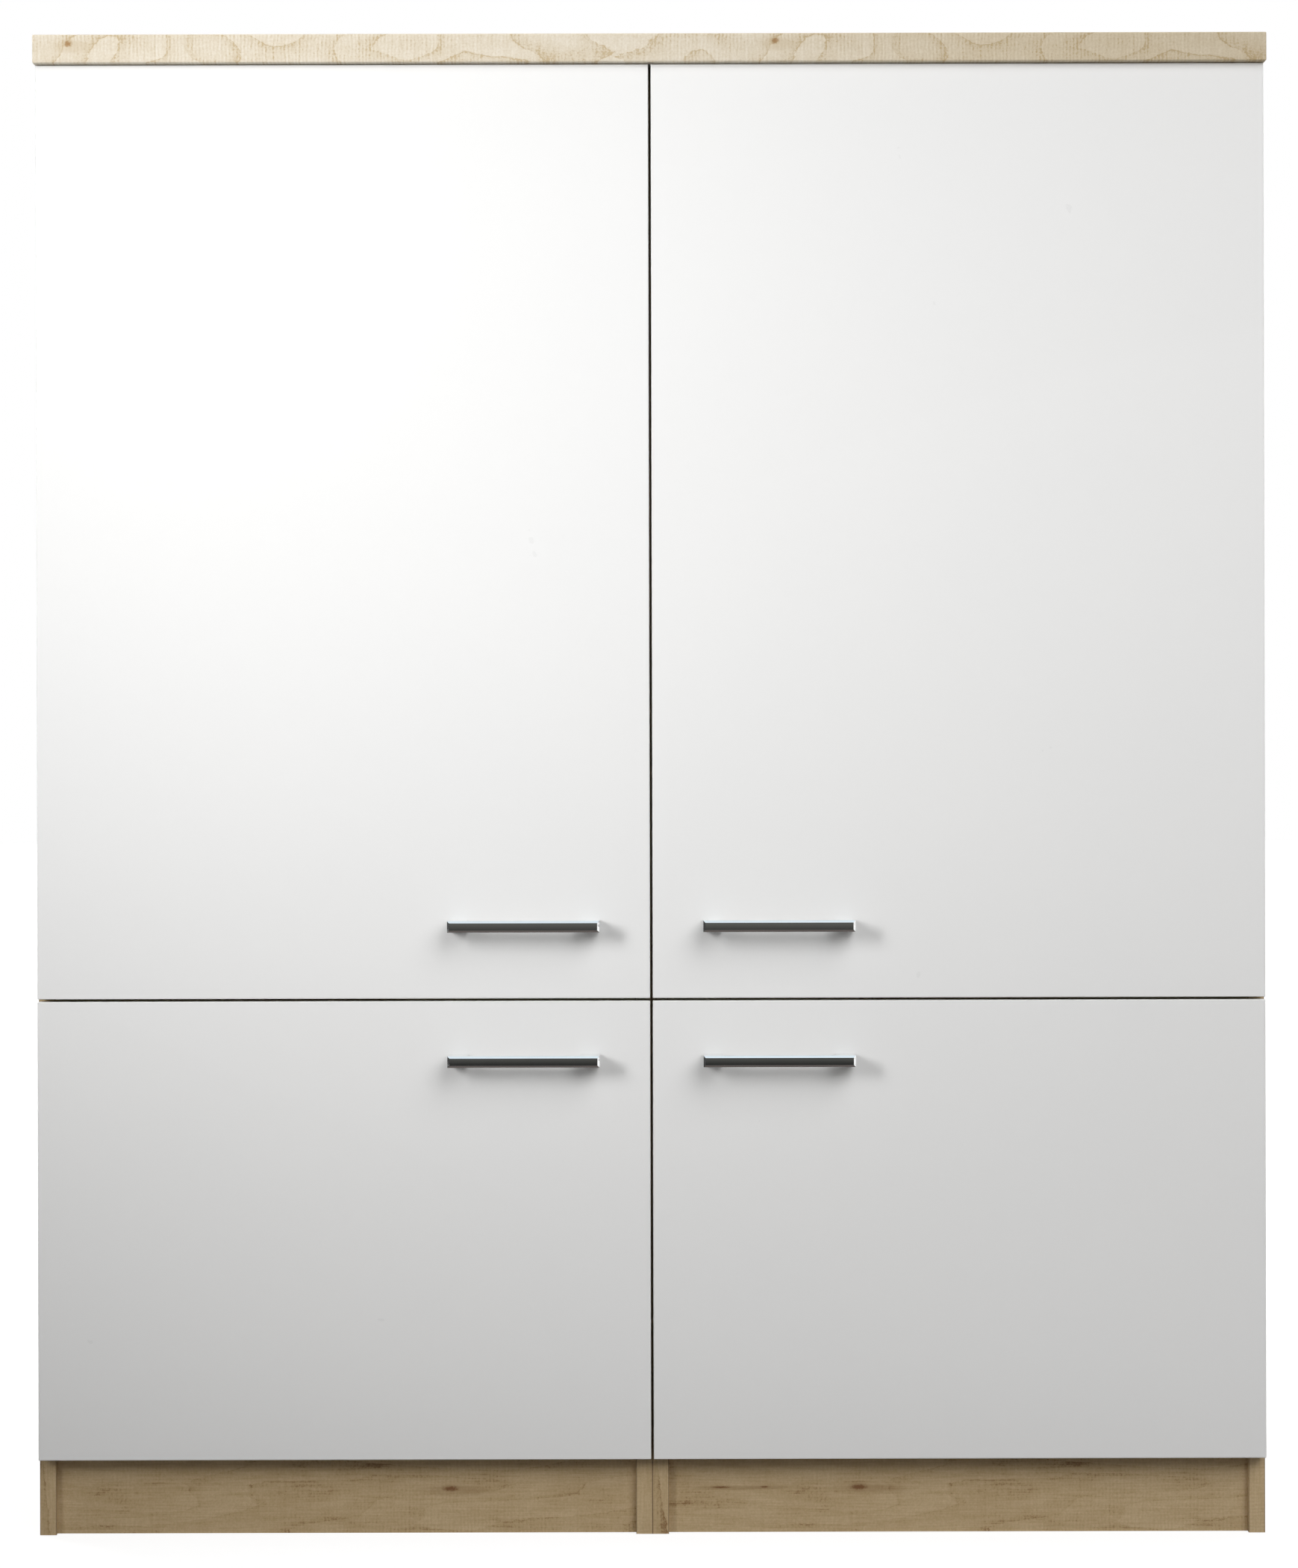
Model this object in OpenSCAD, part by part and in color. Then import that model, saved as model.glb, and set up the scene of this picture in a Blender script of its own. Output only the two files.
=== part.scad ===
// Tall utility cabinet: two cupboards side by side under one worktop.
// Each cupboard has a low and a tall compartment, behind a door each,
// and every door swings on cup hinges at the cabinet's outer side.
// The origin is on the floor, in the middle of the footprint. The front faces -Y.

/* [Cupboards] */
// Width of one cupboard over its two side boards
unit_w = 600; // [500:1:700]
// Depth of the side boards, front edge to back edge
body_d = 573; // [520:1:640]
// Height of the side boards, floor to worktop
body_h = 1436; // [1380:1:1560]
// Thickness of the cupboard boards
board_t = 16; // [15:0.5:18]
// Height of the plinth, floor to the bottom board
plinth_h = 75; // [60:1:110]
// How far the plinth stands behind the side boards' front edges
plinth_inset = 8; // [2:1:40]
// Thickness of the back boards
back_t = 3; // [2.5:0.1:4]
// Depth of the grooves that hold the back boards
groove_depth = 6; // [4:0.5:8]
// Width of the rails under the worktop
rail_w = 100; // [80:1:140]

/* [Worktop] */
// Thickness of the worktop
top_t = 28; // [22:1:40]
// How far the worktop reaches past the doors
top_overhang = 8; // [2:1:30]
// Rounding of the worktop's edges
top_edge_r = 1.5; // [0.5:0.5:4]

/* [Doors] */
// Thickness of the doors
door_t = 16; // [15:0.5:19]
// Gap between the doors' backs and the cupboards' front edges
door_gap = 3; // [3:0.1:3.6]
// Gap between two doors that meet, side by side or one above the other
door_split = 2.5; // [2:0.5:4]
// How far a door's hinge edge stays inside the cabinet's outer face
side_reveal = 1.8; // [1:0.1:2]
// Gap between an upper door and the worktop
top_reveal = 0.5; // [0.5:0.5:4]
// How far a lower door ends above the bottom board's underside
bottom_reveal = 1.5; // [0:0.5:6]
// Height of the middle of the gap between lower and upper doors
seam_h = 524.5; // [480:0.5:580]
// Rounding of the doors' edges
door_edge_r = 1; // [0.5:0.5:2]

/* [Shelves] */
// Thickness of the loose shelves
shelf_t = 16; // [15:0.5:19]
// How far the loose shelves stand behind the cupboards' front edges
shelf_inset = 20; // [10:1:60]
// Gap at each end of a loose shelf
shelf_gap = 1; // [0.5:0.25:2]
// Distance between shelf holes, one above the other
row_pitch = 32; // [30:1:34]
// Rows that the low shelf's holes lie below the fixed shelf
low_rows = 7; // [6:1:8]
// Rows that the middle shelf's holes lie above the fixed shelf
mid_rows = 9; // [8:1:11]
// Rows that the high shelf's holes lie above the fixed shelf
high_rows = 18; // [16:1:20]
// Spare holes above and below each shelf
spare_rows = 2; // [0:1:3]
// Distance of the front shelf holes from the front edge
pin_front = 69; // [60:1:90]
// Distance of the rear shelf holes from the front edge
pin_rear = 485; // [440:1:490]
// Diameter of the holes for shelf pins
pin_bore_d = 5; // [4:0.5:6]
// Depth of the holes for shelf pins
pin_bore_depth = 11; // [9:0.5:12]

/* [Handles] */
// Distance between a handle's two screws
handle_pitch = 128; // [96:32:192]
// Width of a handle's legs
leg_w = 19; // [12:1:24]
// Height of a handle
handle_h = 11; // [10:1:16]
// How far a handle stands out from its door
handle_out = 32; // [25:1:40]
// Thickness of a handle's bar, front to back
bar_t = 8; // [6:1:10]
// Bevel round a handle's front face
bevel = 2; // [1:0.5:3]
// Distance from a handle to its door's free edge
handle_edge = 49; // [30:1:80]
// Height of an upper handle above its door's lower edge
upper_handle_rise = 71; // [50:0.5:110]
// Distance of a lower handle below its door's upper edge
lower_handle_drop = 57; // [40:0.5:90]
// Diameter of the handle screws
handle_screw_d = 4; // [3:0.5:5]

/* [Hinges] */
// Distance of the end hinges from a door's ends
hinge_end = 100; // [80:1:120]
// Hinges on an upper door
upper_hinges = 3; // [2:1:4]
// Hinges on a lower door
lower_hinges = 2; // [2:1:3]
// Diameter of the hinge cups
cup_d = 35; // [35:0.1:36]
// Thickness of the hinge cups' flanges
flange_t = 1.2; // [0.8:0.1:1.4]
// Diameter of the hinge pins
hinge_pin_d = 2; // [1.6:0.1:2.2]

/* [Fittings] */
// Diameter of the cam nuts' holes
cam_bore_d = 15; // [15:0.5:16]
// Depth of the cam nuts' holes
cam_depth = 12.5; // [12.5:0.1:13]
// Distance of a cam nut's middle from the board's end
cam_reach = 24; // [24:1:34]
// Diameter of the dowels' holes
peg_bore_d = 8; // [6:1:9]
// Length of the dowels
peg_len = 30; // [24:1:34]
// Diameter of the holes for wall screws
wall_bore_d = 8; // [5:0.5:10]
// Distance between one cupboard's two wall screws
wall_pitch = 416; // [320:32:448]

/* [Hidden] */
$fn = 32;

// A cut runs this far past the face that it opens
cut = 1;
// Gap round a loose fit, on the radius
loose = 0.1;
// Gap between pieces that rest side by side
rest_gap = 0.2;
// Gap between the end of a screw, pin or dowel and the end of its blind hole
end_play = 0.5;
// How far two shapes of one piece reach into each other
merge = 0.5;

// Colours
oak = [0.80, 0.71, 0.58];
white = [0.95, 0.95, 0.94];
back_white = [0.88, 0.88, 0.86];
steel = [0.62, 0.62, 0.60];
nickel = [0.74, 0.73, 0.70];
zinc = [0.66, 0.67, 0.68];
beech = [0.82, 0.66, 0.46];
clear_grey = [0.85, 0.87, 0.88];

// Places along the depth: the handles' fronts and the back edges are equally far from the origin
total_d = handle_out + door_t + door_gap + body_d;
front_y = total_d / 2 - body_d;
groove_w = back_t + 2 * rest_gap;
groove_front = body_d - board_t - groove_w;
inner_w = unit_w - 2 * board_t;

// Heights
middle_z = seam_h - board_t / 2;
low_shelf_z = seam_h - low_rows * row_pitch;
mid_shelf_z = seam_h + mid_rows * row_pitch;
high_shelf_z = seam_h + high_rows * row_pitch;
shelf_rows = [low_shelf_z, mid_shelf_z, high_shelf_z];

// Doors, as lower edge and upper edge
door_w = unit_w - side_reveal - door_split / 2;
lower_door = [plinth_h + bottom_reveal, seam_h - door_split / 2];
upper_door = [seam_h + door_split / 2, body_h - top_reveal];
function door_span(row) = row == "upper" ? upper_door : lower_door;

// Handles
handle_len = handle_pitch + leg_w;
function handle_z(row) = row == "upper" ? upper_door[0] + upper_handle_rise : lower_door[1] - lower_handle_drop;
handle_u = unit_w - door_split / 2 - handle_edge - handle_len;
handle_bore_d = handle_screw_d + 1;
handle_bore_depth = 14;
handle_head = [8, 2];

// Hinge heights on a door
function hinge_count(row) = row == "upper" ? upper_hinges : lower_hinges;
function hinge_heights(row) =
    let (span = door_span(row), n = hinge_count(row), run = span[1] - span[0] - 2 * hinge_end)
    [for (i = [0 : n - 1]) span[0] + hinge_end + run * i / (n - 1)];
all_hinges = concat(hinge_heights("lower"), hinge_heights("upper"));

// Hinge, in a cupboard's own frame: across from its outer face, and in from its front edge.
// Each door hangs on two links a hinge. The carrying link turns on two fixed pins. The guide
// link ends in an open fork, in which the cup's second pin slides out by 2 mm and back.
cup_u = 24;
cup_wall = 0.8;
cup_floor = 0.6;
cup_cavity = 12.6;
cup_bore_depth = cup_cavity + cup_floor + rest_gap;
flange_d = cup_d + 4;
ear_u = cup_u + 9.5;
ear_pitch = 45;
ear_size = [11, 57];
ear_corner = 4;
carry_arm = [31, -12];
carry_cup = [14.2, -9];
guide_arm = [35, -10.6];
guide_cup = [11.7, -12.3];
pin_r = hinge_pin_d / 2;
eye_r = pin_r + 1;
link_r = 1.5;
fork_slot_r = pin_r + 0.3;
fork_r = fork_slot_r + 1.1;
fork_tip = 2.1;
fork_bevel = 0.6;
guide_half = 3.4;
carry_from = 3.7;
link_t = 1.5;
arm_from = 5.5;
arm_t = 1.5;
arm_half = arm_from + arm_t;
pocket_half = arm_half + 0.8;
nose_r = 2.4;
nose_root = [33.5, 7];
arm_low = 22;
arm_top = 36.6;
arm_front = 2;
arm_back = 72;
arm_corner = 3;
web_t = 1.4;
web_front = -4;
web_back = arm_back - arm_corner;
plate_t = 2.5;
plate_v = 37;
plate_size = [16, 50];
plate_corner = 4;
plate_pitch = 32;
plate_bore_d = 5.4;
ridge_front = 12;
ridge_back = 68;
ridge_half = arm_from - rest_gap;
ridge_corner = 2;
ridge_window = [9, 18];

// The hinges' screws. A head is given as diameter and height.
side_screw_v = 20;
clamp_v = 60;
arm_screw_d = 5;
arm_screw_len = 14;
arm_head = [7.5, 1.4];
plate_head = [8.5, 1.6];
cup_screw_d = 3.4;
cup_screw_in = 12;
cup_head = [7, 1.6];

// Points on a rounded rectangle, three steps to each corner
function round_points(w, h, r, steps = 3) =
    [for (c = [[w - r, h - r, 0], [r, h - r, 90], [r, r, 180], [w - r, r, 270]])
        for (i = [0 : steps]) [c.x + r * cos(c.z + 90 * i / steps), c.y + r * sin(c.z + 90 * i / steps)]];

// A board with every edge rounded
module round_slab(w, d, h, r) {
    intersection() {
        linear_extrude(h) polygon(round_points(w, d, r));
        translate([0, d, 0]) rotate([90, 0, 0]) linear_extrude(d) polygon(round_points(w, h, r));
        rotate([90, 0, 90]) linear_extrude(w) polygon(round_points(d, h, r));
    }
}

// Places a piece in one cupboard's own frame: the outer face, the front edge and the floor are 0
module unit(side) {
    mirror([side == "left" ? 0 : 1, 0, 0]) translate([-unit_w, front_y, 0]) children();
}

// Repeats a piece at the inner face of each side board, pointing into the cupboard
module both_ends() {
    for (e = [0, 1]) translate([e * unit_w, 0, 0]) mirror([e, 0, 0]) translate([board_t, 0, 0]) children();
}

module both_units() {
    for (side = ["left", "right"]) unit(side) children();
}

// A round bar or bore along a cupboard's width
module along(d, from, to) {
    translate([from, 0, 0]) rotate([0, 90, 0]) cylinder(d = d, h = to - from);
}

// A round bar or bore through a door or an upright board, front to back
module through(d, from, to) {
    translate([0, from, 0]) rotate([-90, 0, 0]) cylinder(d = d, h = to - from);
}

// A plate in the plane of the hinge's motion, between two heights
module plan_plate(from, to) {
    translate([0, 0, from]) linear_extrude(to - from) children();
}

// The same piece above and below the hinge's middle
module mirrored_pair() {
    for (m = [0, 1]) mirror([0, 0, m]) children();
}

// Outline of a bar with round ends
function bar_points(p, q, r, steps = 6) =
    let (a = atan2(q.y - p.y, q.x - p.x))
    concat([for (i = [0 : steps]) p + r * [cos(a + 90 + 180 * i / steps), sin(a + 90 + 180 * i / steps)]],
           [for (i = [0 : steps]) q + r * [cos(a - 90 + 180 * i / steps), sin(a - 90 + 180 * i / steps)]]);

// Where boards meet the side boards: depth, height, kind of fitting, and how far the board is turned
bottom_mid = plinth_h + board_t / 2;
rail_mid = body_h - board_t / 2;
rear_mid = body_d - board_t / 2;
plinth_mid = plinth_inset + board_t / 2;
cam_inset = 60;
peg_inset = 110;
flat_cams = [cam_inset, groove_front - cam_inset];
flat_pegs = [peg_inset, groove_front - peg_inset];
function flat_fittings(z, cams, pegs) =
    concat([for (v = cams) [v, z, "cam", 0]], [for (v = pegs) [v, z, "peg", 0]]);
function upright_fittings(v, cams, pegs) =
    concat([for (z = cams) [v, z, "cam", 90]], [for (z = pegs) [v, z, "peg", 90]]);
bottom_fittings = flat_fittings(bottom_mid, flat_cams, flat_pegs);
middle_fittings = flat_fittings(seam_h, flat_cams, flat_pegs);
front_rail_fittings = flat_fittings(rail_mid, [rail_w / 2], [rail_w / 5, rail_w * 4 / 5]);
rear_rail_fittings = upright_fittings(rear_mid, [body_h - rail_w / 2],
    [body_h - rail_w / 5, body_h - rail_w * 4 / 5]);
plinth_fittings = upright_fittings(plinth_mid, [plinth_h / 2], [plinth_h / 5, plinth_h * 4 / 5]);
all_fittings = concat(bottom_fittings, middle_fittings, front_rail_fittings, rear_rail_fittings,
    plinth_fittings);

// The bolts that the cam nuts draw tight: a thread, a collar, a shank and a head
collar_bore_d = 8;
collar_len = 2.5;
shank_d = 4;
catch_d = 6.4;
catch_len = 4;
catch_past = 1;
cam_slot_d = catch_d + 1;
cam_cross = [9, 1.6, 2.5];

// How much further a dowel goes into the board between the sides than into the side
peg_shift = 2.5;

module at_fittings(fittings, kind) {
    for (f = fittings) if (f[2] == kind) translate([0, f[0], f[1]]) rotate([f[3], 0, 0]) children();
}

// Bores in a side board for the bolts and dowels, seen from the board's inner face
module side_bores() {
    at_fittings(all_fittings, "cam") along(pin_bore_d, -pin_bore_depth, cut);
    at_fittings(all_fittings, "peg") along(peg_bore_d, -peg_len / 2 + peg_shift - end_play, cut);
}

// Bores in the end of a board that stands between the side boards
module end_bores(fittings) {
    at_fittings(fittings, "cam") {
        along(collar_bore_d, -cut, cam_reach);
        translate([cam_reach, 0, -board_t / 2 - cut]) cylinder(d = cam_bore_d, h = cam_depth + cut);
    }
    at_fittings(fittings, "peg") along(peg_bore_d, -cut, peg_len / 2 + peg_shift + end_play);
}

// Holes for the pins of the loose shelves
module pin_rows() {
    for (z = shelf_rows, v = [pin_front, pin_rear], i = [-spare_rows : spare_rows])
        translate([0, v, z + i * row_pitch]) along(pin_bore_d, -pin_bore_depth, cut);
}

module side_board() {
    difference() {
        cube([board_t, body_d, body_h]);
        translate([board_t - groove_depth, groove_front, -cut])
            cube([groove_depth + cut, groove_w, body_h + 2 * cut]);
        translate([board_t, 0, 0]) {
            side_bores();
            pin_rows();
            translate([0, bracket_v, body_h - bracket_hole])
                along(top_pilot_d, -bracket_screw_in - end_play, cut);
        }
    }
}

module outer_side(side) {
    color(oak) unit(side) difference() {
        side_board();
        for (z = all_hinges, s = [-1, 1])
            translate([board_t, plate_v, z + s * plate_pitch / 2]) along(pin_bore_d, -pin_bore_depth, cut);
    }
}

// Screws that hold the two cupboards together, as depth and height
joining_inset = 40;
joining_drop = 100;
joining_rise = 75;
joining_points = [for (v = [joining_inset, body_d - joining_inset])
    for (z = [plinth_h + joining_rise, body_h - joining_drop]) [v, z]];
joining_bore_d = 8;
joining_head = [14, 1.5];
joining_collar = 3;

module inner_side(side) {
    color(oak) unit(side) difference() {
        translate([unit_w, 0, 0]) mirror([1, 0, 0]) side_board();
        for (p = joining_points)
            translate([0, p[0], p[1]]) along(joining_bore_d, unit_w - board_t - cut, unit_w + cut);
    }
}

// A board between the side boards, with the bores for its fittings in both ends
module cross_board(depth, height, front, low, fittings) {
    difference() {
        translate([board_t, front, low]) cube([inner_w, depth, height]);
        both_ends() end_bores(fittings);
    }
}

module bottom(side) {
    color(oak) unit(side)
        cross_board(groove_front, board_t, 0, plinth_h, bottom_fittings);
}

module middle_shelf(side) {
    color(oak) unit(side)
        cross_board(groove_front, board_t, 0, middle_z, middle_fittings);
}

// Places of the worktop's screws in a front rail, across the cupboard
top_screw_u = [unit_w / 4, unit_w * 3 / 4];
top_screw_d = 4;
top_screw_bore = top_screw_d + 1;
top_screw_in = top_t / 2;
top_pilot_d = top_screw_d + 2 * loose;
top_head = [8, 2];

// Brackets that hold the worktop's rear to the side boards
bracket_leg = 28;
bracket_t = 2;
bracket_w = 24;
bracket_v = groove_front - 116;
bracket_hole = 17;
bracket_screw_in = 12;

module front_rail(side) {
    color(oak) unit(side) difference() {
        cross_board(rail_w, board_t, 0, body_h - board_t, front_rail_fittings);
        for (u = top_screw_u) translate([u, rail_w / 2, body_h - board_t - cut])
            cylinder(d = top_screw_bore, h = board_t + 2 * cut);
    }
}

// Places of the wall screws, across the cupboard
wall_u = [for (s = [-1, 1]) unit_w / 2 + s * wall_pitch / 2];
wall_z = body_h - rail_w / 2;

module wall_bores() {
    for (u = wall_u) translate([u, 0, wall_z]) through(wall_bore_d, groove_front - cut, body_d + cut);
}

module rear_rail(side) {
    color(oak) unit(side) difference() {
        cross_board(board_t, rail_w, body_d - board_t, body_h - rail_w, rear_rail_fittings);
        wall_bores();
    }
}

module back(side) {
    color(back_white) unit(side) difference() {
        translate([board_t - groove_depth + 2 * rest_gap, groove_front + rest_gap, plinth_h])
            cube([inner_w + 2 * groove_depth - 4 * rest_gap, back_t, body_h - plinth_h]);
        wall_bores();
    }
}

module plinth(side) {
    color(oak) unit(side)
        cross_board(board_t, plinth_h, plinth_inset, 0, plinth_fittings);
}

// How far a shelf rests above the middle of its pins' holes
pin_rise = pin_bore_d / 2 + rest_gap;

module loose_shelf(side, z) {
    color(oak) unit(side)
        translate([board_t + shelf_gap, shelf_inset, z + pin_rise])
            cube([inner_w - 2 * shelf_gap, groove_front - shelf_inset, shelf_t]);
}

module worktop() {
    length = 2 * unit_w;
    depth = top_overhang + door_t + door_gap + body_d;
    color(oak) difference() {
        translate([-length / 2, front_y + body_d - depth, body_h]) round_slab(length, depth, top_t, top_edge_r);
        both_units() {
            for (u = top_screw_u) translate([u, rail_w / 2, body_h - cut])
                cylinder(d = top_pilot_d, h = cut + top_screw_in + end_play);
            both_ends() translate([bracket_hole, bracket_v, body_h - cut])
                cylinder(d = top_pilot_d, h = cut + bracket_screw_in + end_play);
        }
    }
}

// Shelf pins: a peg, a riser and a ledge with a rib under it
ledge_len = 9;
ledge_t = 1.6;
riser_drop = 6;
rib_t = 1.6;

module shelf_pin() {
    along(pin_bore_d - 2 * loose, end_play - pin_bore_depth, merge);
    translate([rest_gap / 2, -ledge_len / 2, -riser_drop]) cube([ledge_t, ledge_len, riser_drop + pin_rise]);
    translate([rest_gap / 2, -ledge_len / 2, pin_rise - ledge_t]) cube([ledge_len, ledge_len, ledge_t]);
    translate([rest_gap / 2, rib_t / 2, 0]) rotate([90, 0, 0]) linear_extrude(rib_t)
        polygon([[0, -riser_drop], [ledge_t, -riser_drop], [ledge_len - ledge_t, pin_rise - ledge_t / 2],
                 [0, pin_rise - ledge_t / 2]]);
}

module shelf_pins() {
    color(nickel) both_units() both_ends()
        for (z = shelf_rows, v = [pin_front, pin_rear]) translate([0, v, z]) shelf_pin();
}

// Repeats a fitting at every hinge of both cupboards
module at_hinges() {
    both_units() for (z = all_hinges) translate([0, 0, z]) children();
}

// A plate that stands on a side board's inner face, as high as given
module side_plate(height) {
    translate([board_t, 0, 0]) rotate([90, 0, 90]) linear_extrude(height) children();
}

// A hinge plate: a base with two screws, and a ridge that the hinge arm is clamped on
module hinge_plate() {
    difference() {
        union() {
            side_plate(plate_t) translate([plate_v - plate_size.x / 2, -plate_size.y / 2])
                polygon(round_points(plate_size.x, plate_size.y, plate_corner));
            side_plate(arm_top - web_t - loose - board_t) translate([ridge_front, -ridge_half])
                polygon(round_points(ridge_back - ridge_front, 2 * ridge_half, ridge_corner));
        }
        for (s = [-1, 1]) translate([board_t, plate_v, s * plate_pitch / 2])
            along(plate_bore_d, -cut, plate_t + cut);
        for (v = [side_screw_v, clamp_v]) translate([arm_top, v, 0])
            along(arm_screw_d + 2 * loose, arm_head[1] - arm_screw_len - end_play, 0);
        translate([board_t + plate_t, plate_v - ridge_window.y / 2, -ridge_half - cut])
            cube([ridge_window.x, ridge_window.y, 2 * ridge_half + 2 * cut]);
    }
}

module hinge_plates() {
    color(nickel) at_hinges() hinge_plate();
}

// Side of a hinge arm: the channel's wall and the nose that carries both pins
module arm_side() {
    translate([arm_low, arm_front])
        polygon(round_points(arm_top - arm_low, arm_back - arm_front, arm_corner));
    for (pair = [[carry_arm, nose_root], [guide_arm, nose_root], [carry_arm, guide_arm]])
        polygon(bar_points(pair[0], pair[1], nose_r));
}

module hinge_arm() {
    mirrored_pair() plan_plate(arm_from, arm_half) arm_side();
    difference() {
        translate([arm_top - web_t, web_front, -arm_from - arm_t / 2])
            cube([web_t, web_back - web_front, 2 * arm_from + arm_t]);
        for (v = [side_screw_v, clamp_v]) translate([arm_top, v, 0])
            along(arm_screw_d + 2 * loose, -web_t - cut, cut);
        translate([arm_top - web_t - cut, clamp_v, -arm_screw_d / 2 - loose])
            cube([web_t + 2 * cut, web_back - clamp_v + cut, arm_screw_d + 2 * loose]);
    }
    mirrored_pair() translate(carry_arm) plan_plate(carry_from - loose, arm_from + arm_t / 2) circle(pin_r);
    translate(guide_arm) plan_plate(-arm_from - arm_t / 2, arm_from + arm_t / 2) circle(pin_r);
}

module hinge_arms() {
    color(nickel) at_hinges() hinge_arm();
}

// A screw's cross, as shares of its head's diameter and height
cross_len = 0.6;
cross_w = 0.12;
cross_depth = 0.6;

// A screw along +Z from its head's outer face: the length runs from under the head
module screw(d, length, head) {
    difference() {
        union() {
            cylinder(d = d, h = head[1] + length);
            cylinder(d = head[0], h = head[1]);
        }
        for (a = [0, 90]) rotate(a) translate([-head[0] * cross_len / 2, -head[0] * cross_w / 2, -cut])
            cube([head[0] * cross_len, head[0] * cross_w, head[1] * cross_depth + cut]);
    }
}

// A screw whose head rests on a face that looks along +X, and one on a face that looks along +Y
module screw_in_x(d, length, head) {
    translate([head[1], 0, 0]) rotate([0, -90, 0]) screw(d, length, head);
}

module screw_in_y(d, length, head) {
    translate([0, head[1], 0]) rotate([90, 0, 0]) screw(d, length, head);
}

module hinge_screws() {
    color(steel) at_hinges() {
        for (s = [-1, 1]) translate([board_t + plate_t, plate_v, s * plate_pitch / 2])
            screw_in_x(pin_bore_d - 2 * loose, plate_t + pin_bore_depth - end_play, plate_head);
        for (v = [side_screw_v, clamp_v]) translate([arm_top, v, 0])
            screw_in_x(arm_screw_d, arm_screw_len - arm_head[1], arm_head);
    }
}

// Cam nuts in the boards' ends, the bolts that they draw tight, and the dowels beside them
module cam_nut() {
    difference() {
        translate([cam_reach, 0, -board_t / 2 + rest_gap])
            cylinder(d = cam_bore_d - 2 * loose, h = cam_depth - 2 * rest_gap);
        along(cam_slot_d, cam_reach - cam_bore_d, cam_reach + cam_slot_d / 2);
        translate([cam_reach, 0, -board_t / 2]) for (a = [0, 90]) rotate(a)
            translate([-cam_cross.x / 2, -cam_cross.y / 2, -cut])
                cube([cam_cross.x, cam_cross.y, cam_cross.z + cut]);
    }
}

module cam_nuts() {
    color(zinc) both_units() both_ends() at_fittings(all_fittings, "cam") cam_nut();
}

module cam_bolt() {
    along(pin_bore_d - 2 * loose, end_play - pin_bore_depth, merge);
    along(collar_bore_d - 2 * loose, 0, collar_len);
    along(shank_d, 0, cam_reach);
    along(catch_d, cam_reach + catch_past - catch_len, cam_reach + catch_past);
}

module cam_bolts() {
    color(steel) both_units() both_ends() at_fittings(all_fittings, "cam") cam_bolt();
}

module dowels() {
    color(beech) both_units() both_ends() at_fittings(all_fittings, "peg")
        along(peg_bore_d - 2 * loose, peg_shift - peg_len / 2, peg_shift + peg_len / 2);
}

// Soft pads on the inner side boards, where the doors' free corners close
bumper_d = 8;
bumper_inset = 30;
dimple = 0.6;

module door_bumpers() {
    pad = door_gap - rest_gap;
    color(clear_grey) both_units()
        for (z = [lower_door[0] + bumper_inset, lower_door[1] - bumper_inset,
                  upper_door[0] + bumper_inset, upper_door[1] - bumper_inset])
            translate([unit_w - board_t / 2, 0, z]) difference() {
                through(bumper_d, -pad, 0);
                through(bumper_d / 3, -pad - cut, dimple - pad);
            }
}

// Two-part screws through both inner side boards
module joining_screws() {
    color(nickel) unit("left") for (p = joining_points) translate([0, p[0], p[1]]) {
        along(joining_bore_d - 2 * loose, unit_w - board_t, unit_w + board_t);
        translate([unit_w, 0, 0]) for (e = [0, 1]) mirror([e, 0, 0]) translate([board_t, 0, 0])
            screw_in_x(joining_bore_d - 2 * loose, joining_collar, joining_head);
    }
}

module worktop_bracket() {
    difference() {
        translate([0, bracket_v + bracket_w / 2, body_h]) rotate([90, 0, 0]) linear_extrude(bracket_w)
            polygon([[0, 0], [bracket_leg, 0], [bracket_leg, -bracket_t], [2 * bracket_t, -bracket_t],
                     [bracket_t, -2 * bracket_t], [bracket_t, -bracket_leg], [0, -bracket_leg]]);
        translate([bracket_hole, bracket_v, body_h - bracket_t - cut])
            cylinder(d = top_screw_bore, h = bracket_t + 2 * cut);
        translate([0, bracket_v, body_h - bracket_hole]) along(top_screw_bore, -cut, bracket_t + cut);
    }
}

module worktop_brackets() {
    color(nickel) both_units() both_ends() worktop_bracket();
}

module worktop_screws() {
    color(steel) both_units() {
        for (u = top_screw_u) translate([u, rail_w / 2, body_h - board_t - top_head[1]])
            screw(top_screw_d, board_t + top_screw_in, top_head);
        both_ends() {
            translate([bracket_hole, bracket_v, body_h - bracket_t - top_head[1]])
                screw(top_screw_d, bracket_t + bracket_screw_in, top_head);
            translate([bracket_t, bracket_v, body_h - bracket_hole])
                screw_in_x(top_screw_d, bracket_t + bracket_screw_in, top_head);
        }
    }
}

// A door with its cup bores, screw holes and handle holes
module door(side, row) {
    span = door_span(row);
    color(white) unit(side) difference() {
        translate([side_reveal, -door_gap - door_t, span[0]])
            round_slab(door_w, door_t, span[1] - span[0], door_edge_r);
        for (z = hinge_heights(row)) translate([0, 0, z]) {
            translate([cup_u, 0, 0]) through(cup_d + 2 * loose, -door_gap - cup_bore_depth, 0);
            for (s = [-1, 1]) translate([ear_u, 0, s * ear_pitch / 2])
                through(cup_screw_d + 2 * loose, -door_gap - cup_screw_in - end_play, 0);
        }
        for (s = [-1, 1]) translate([handle_u + handle_len / 2 + s * handle_pitch / 2, 0, handle_z(row)])
            through(handle_bore_d, -door_gap - door_t - cut, 0);
    }
}

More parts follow.
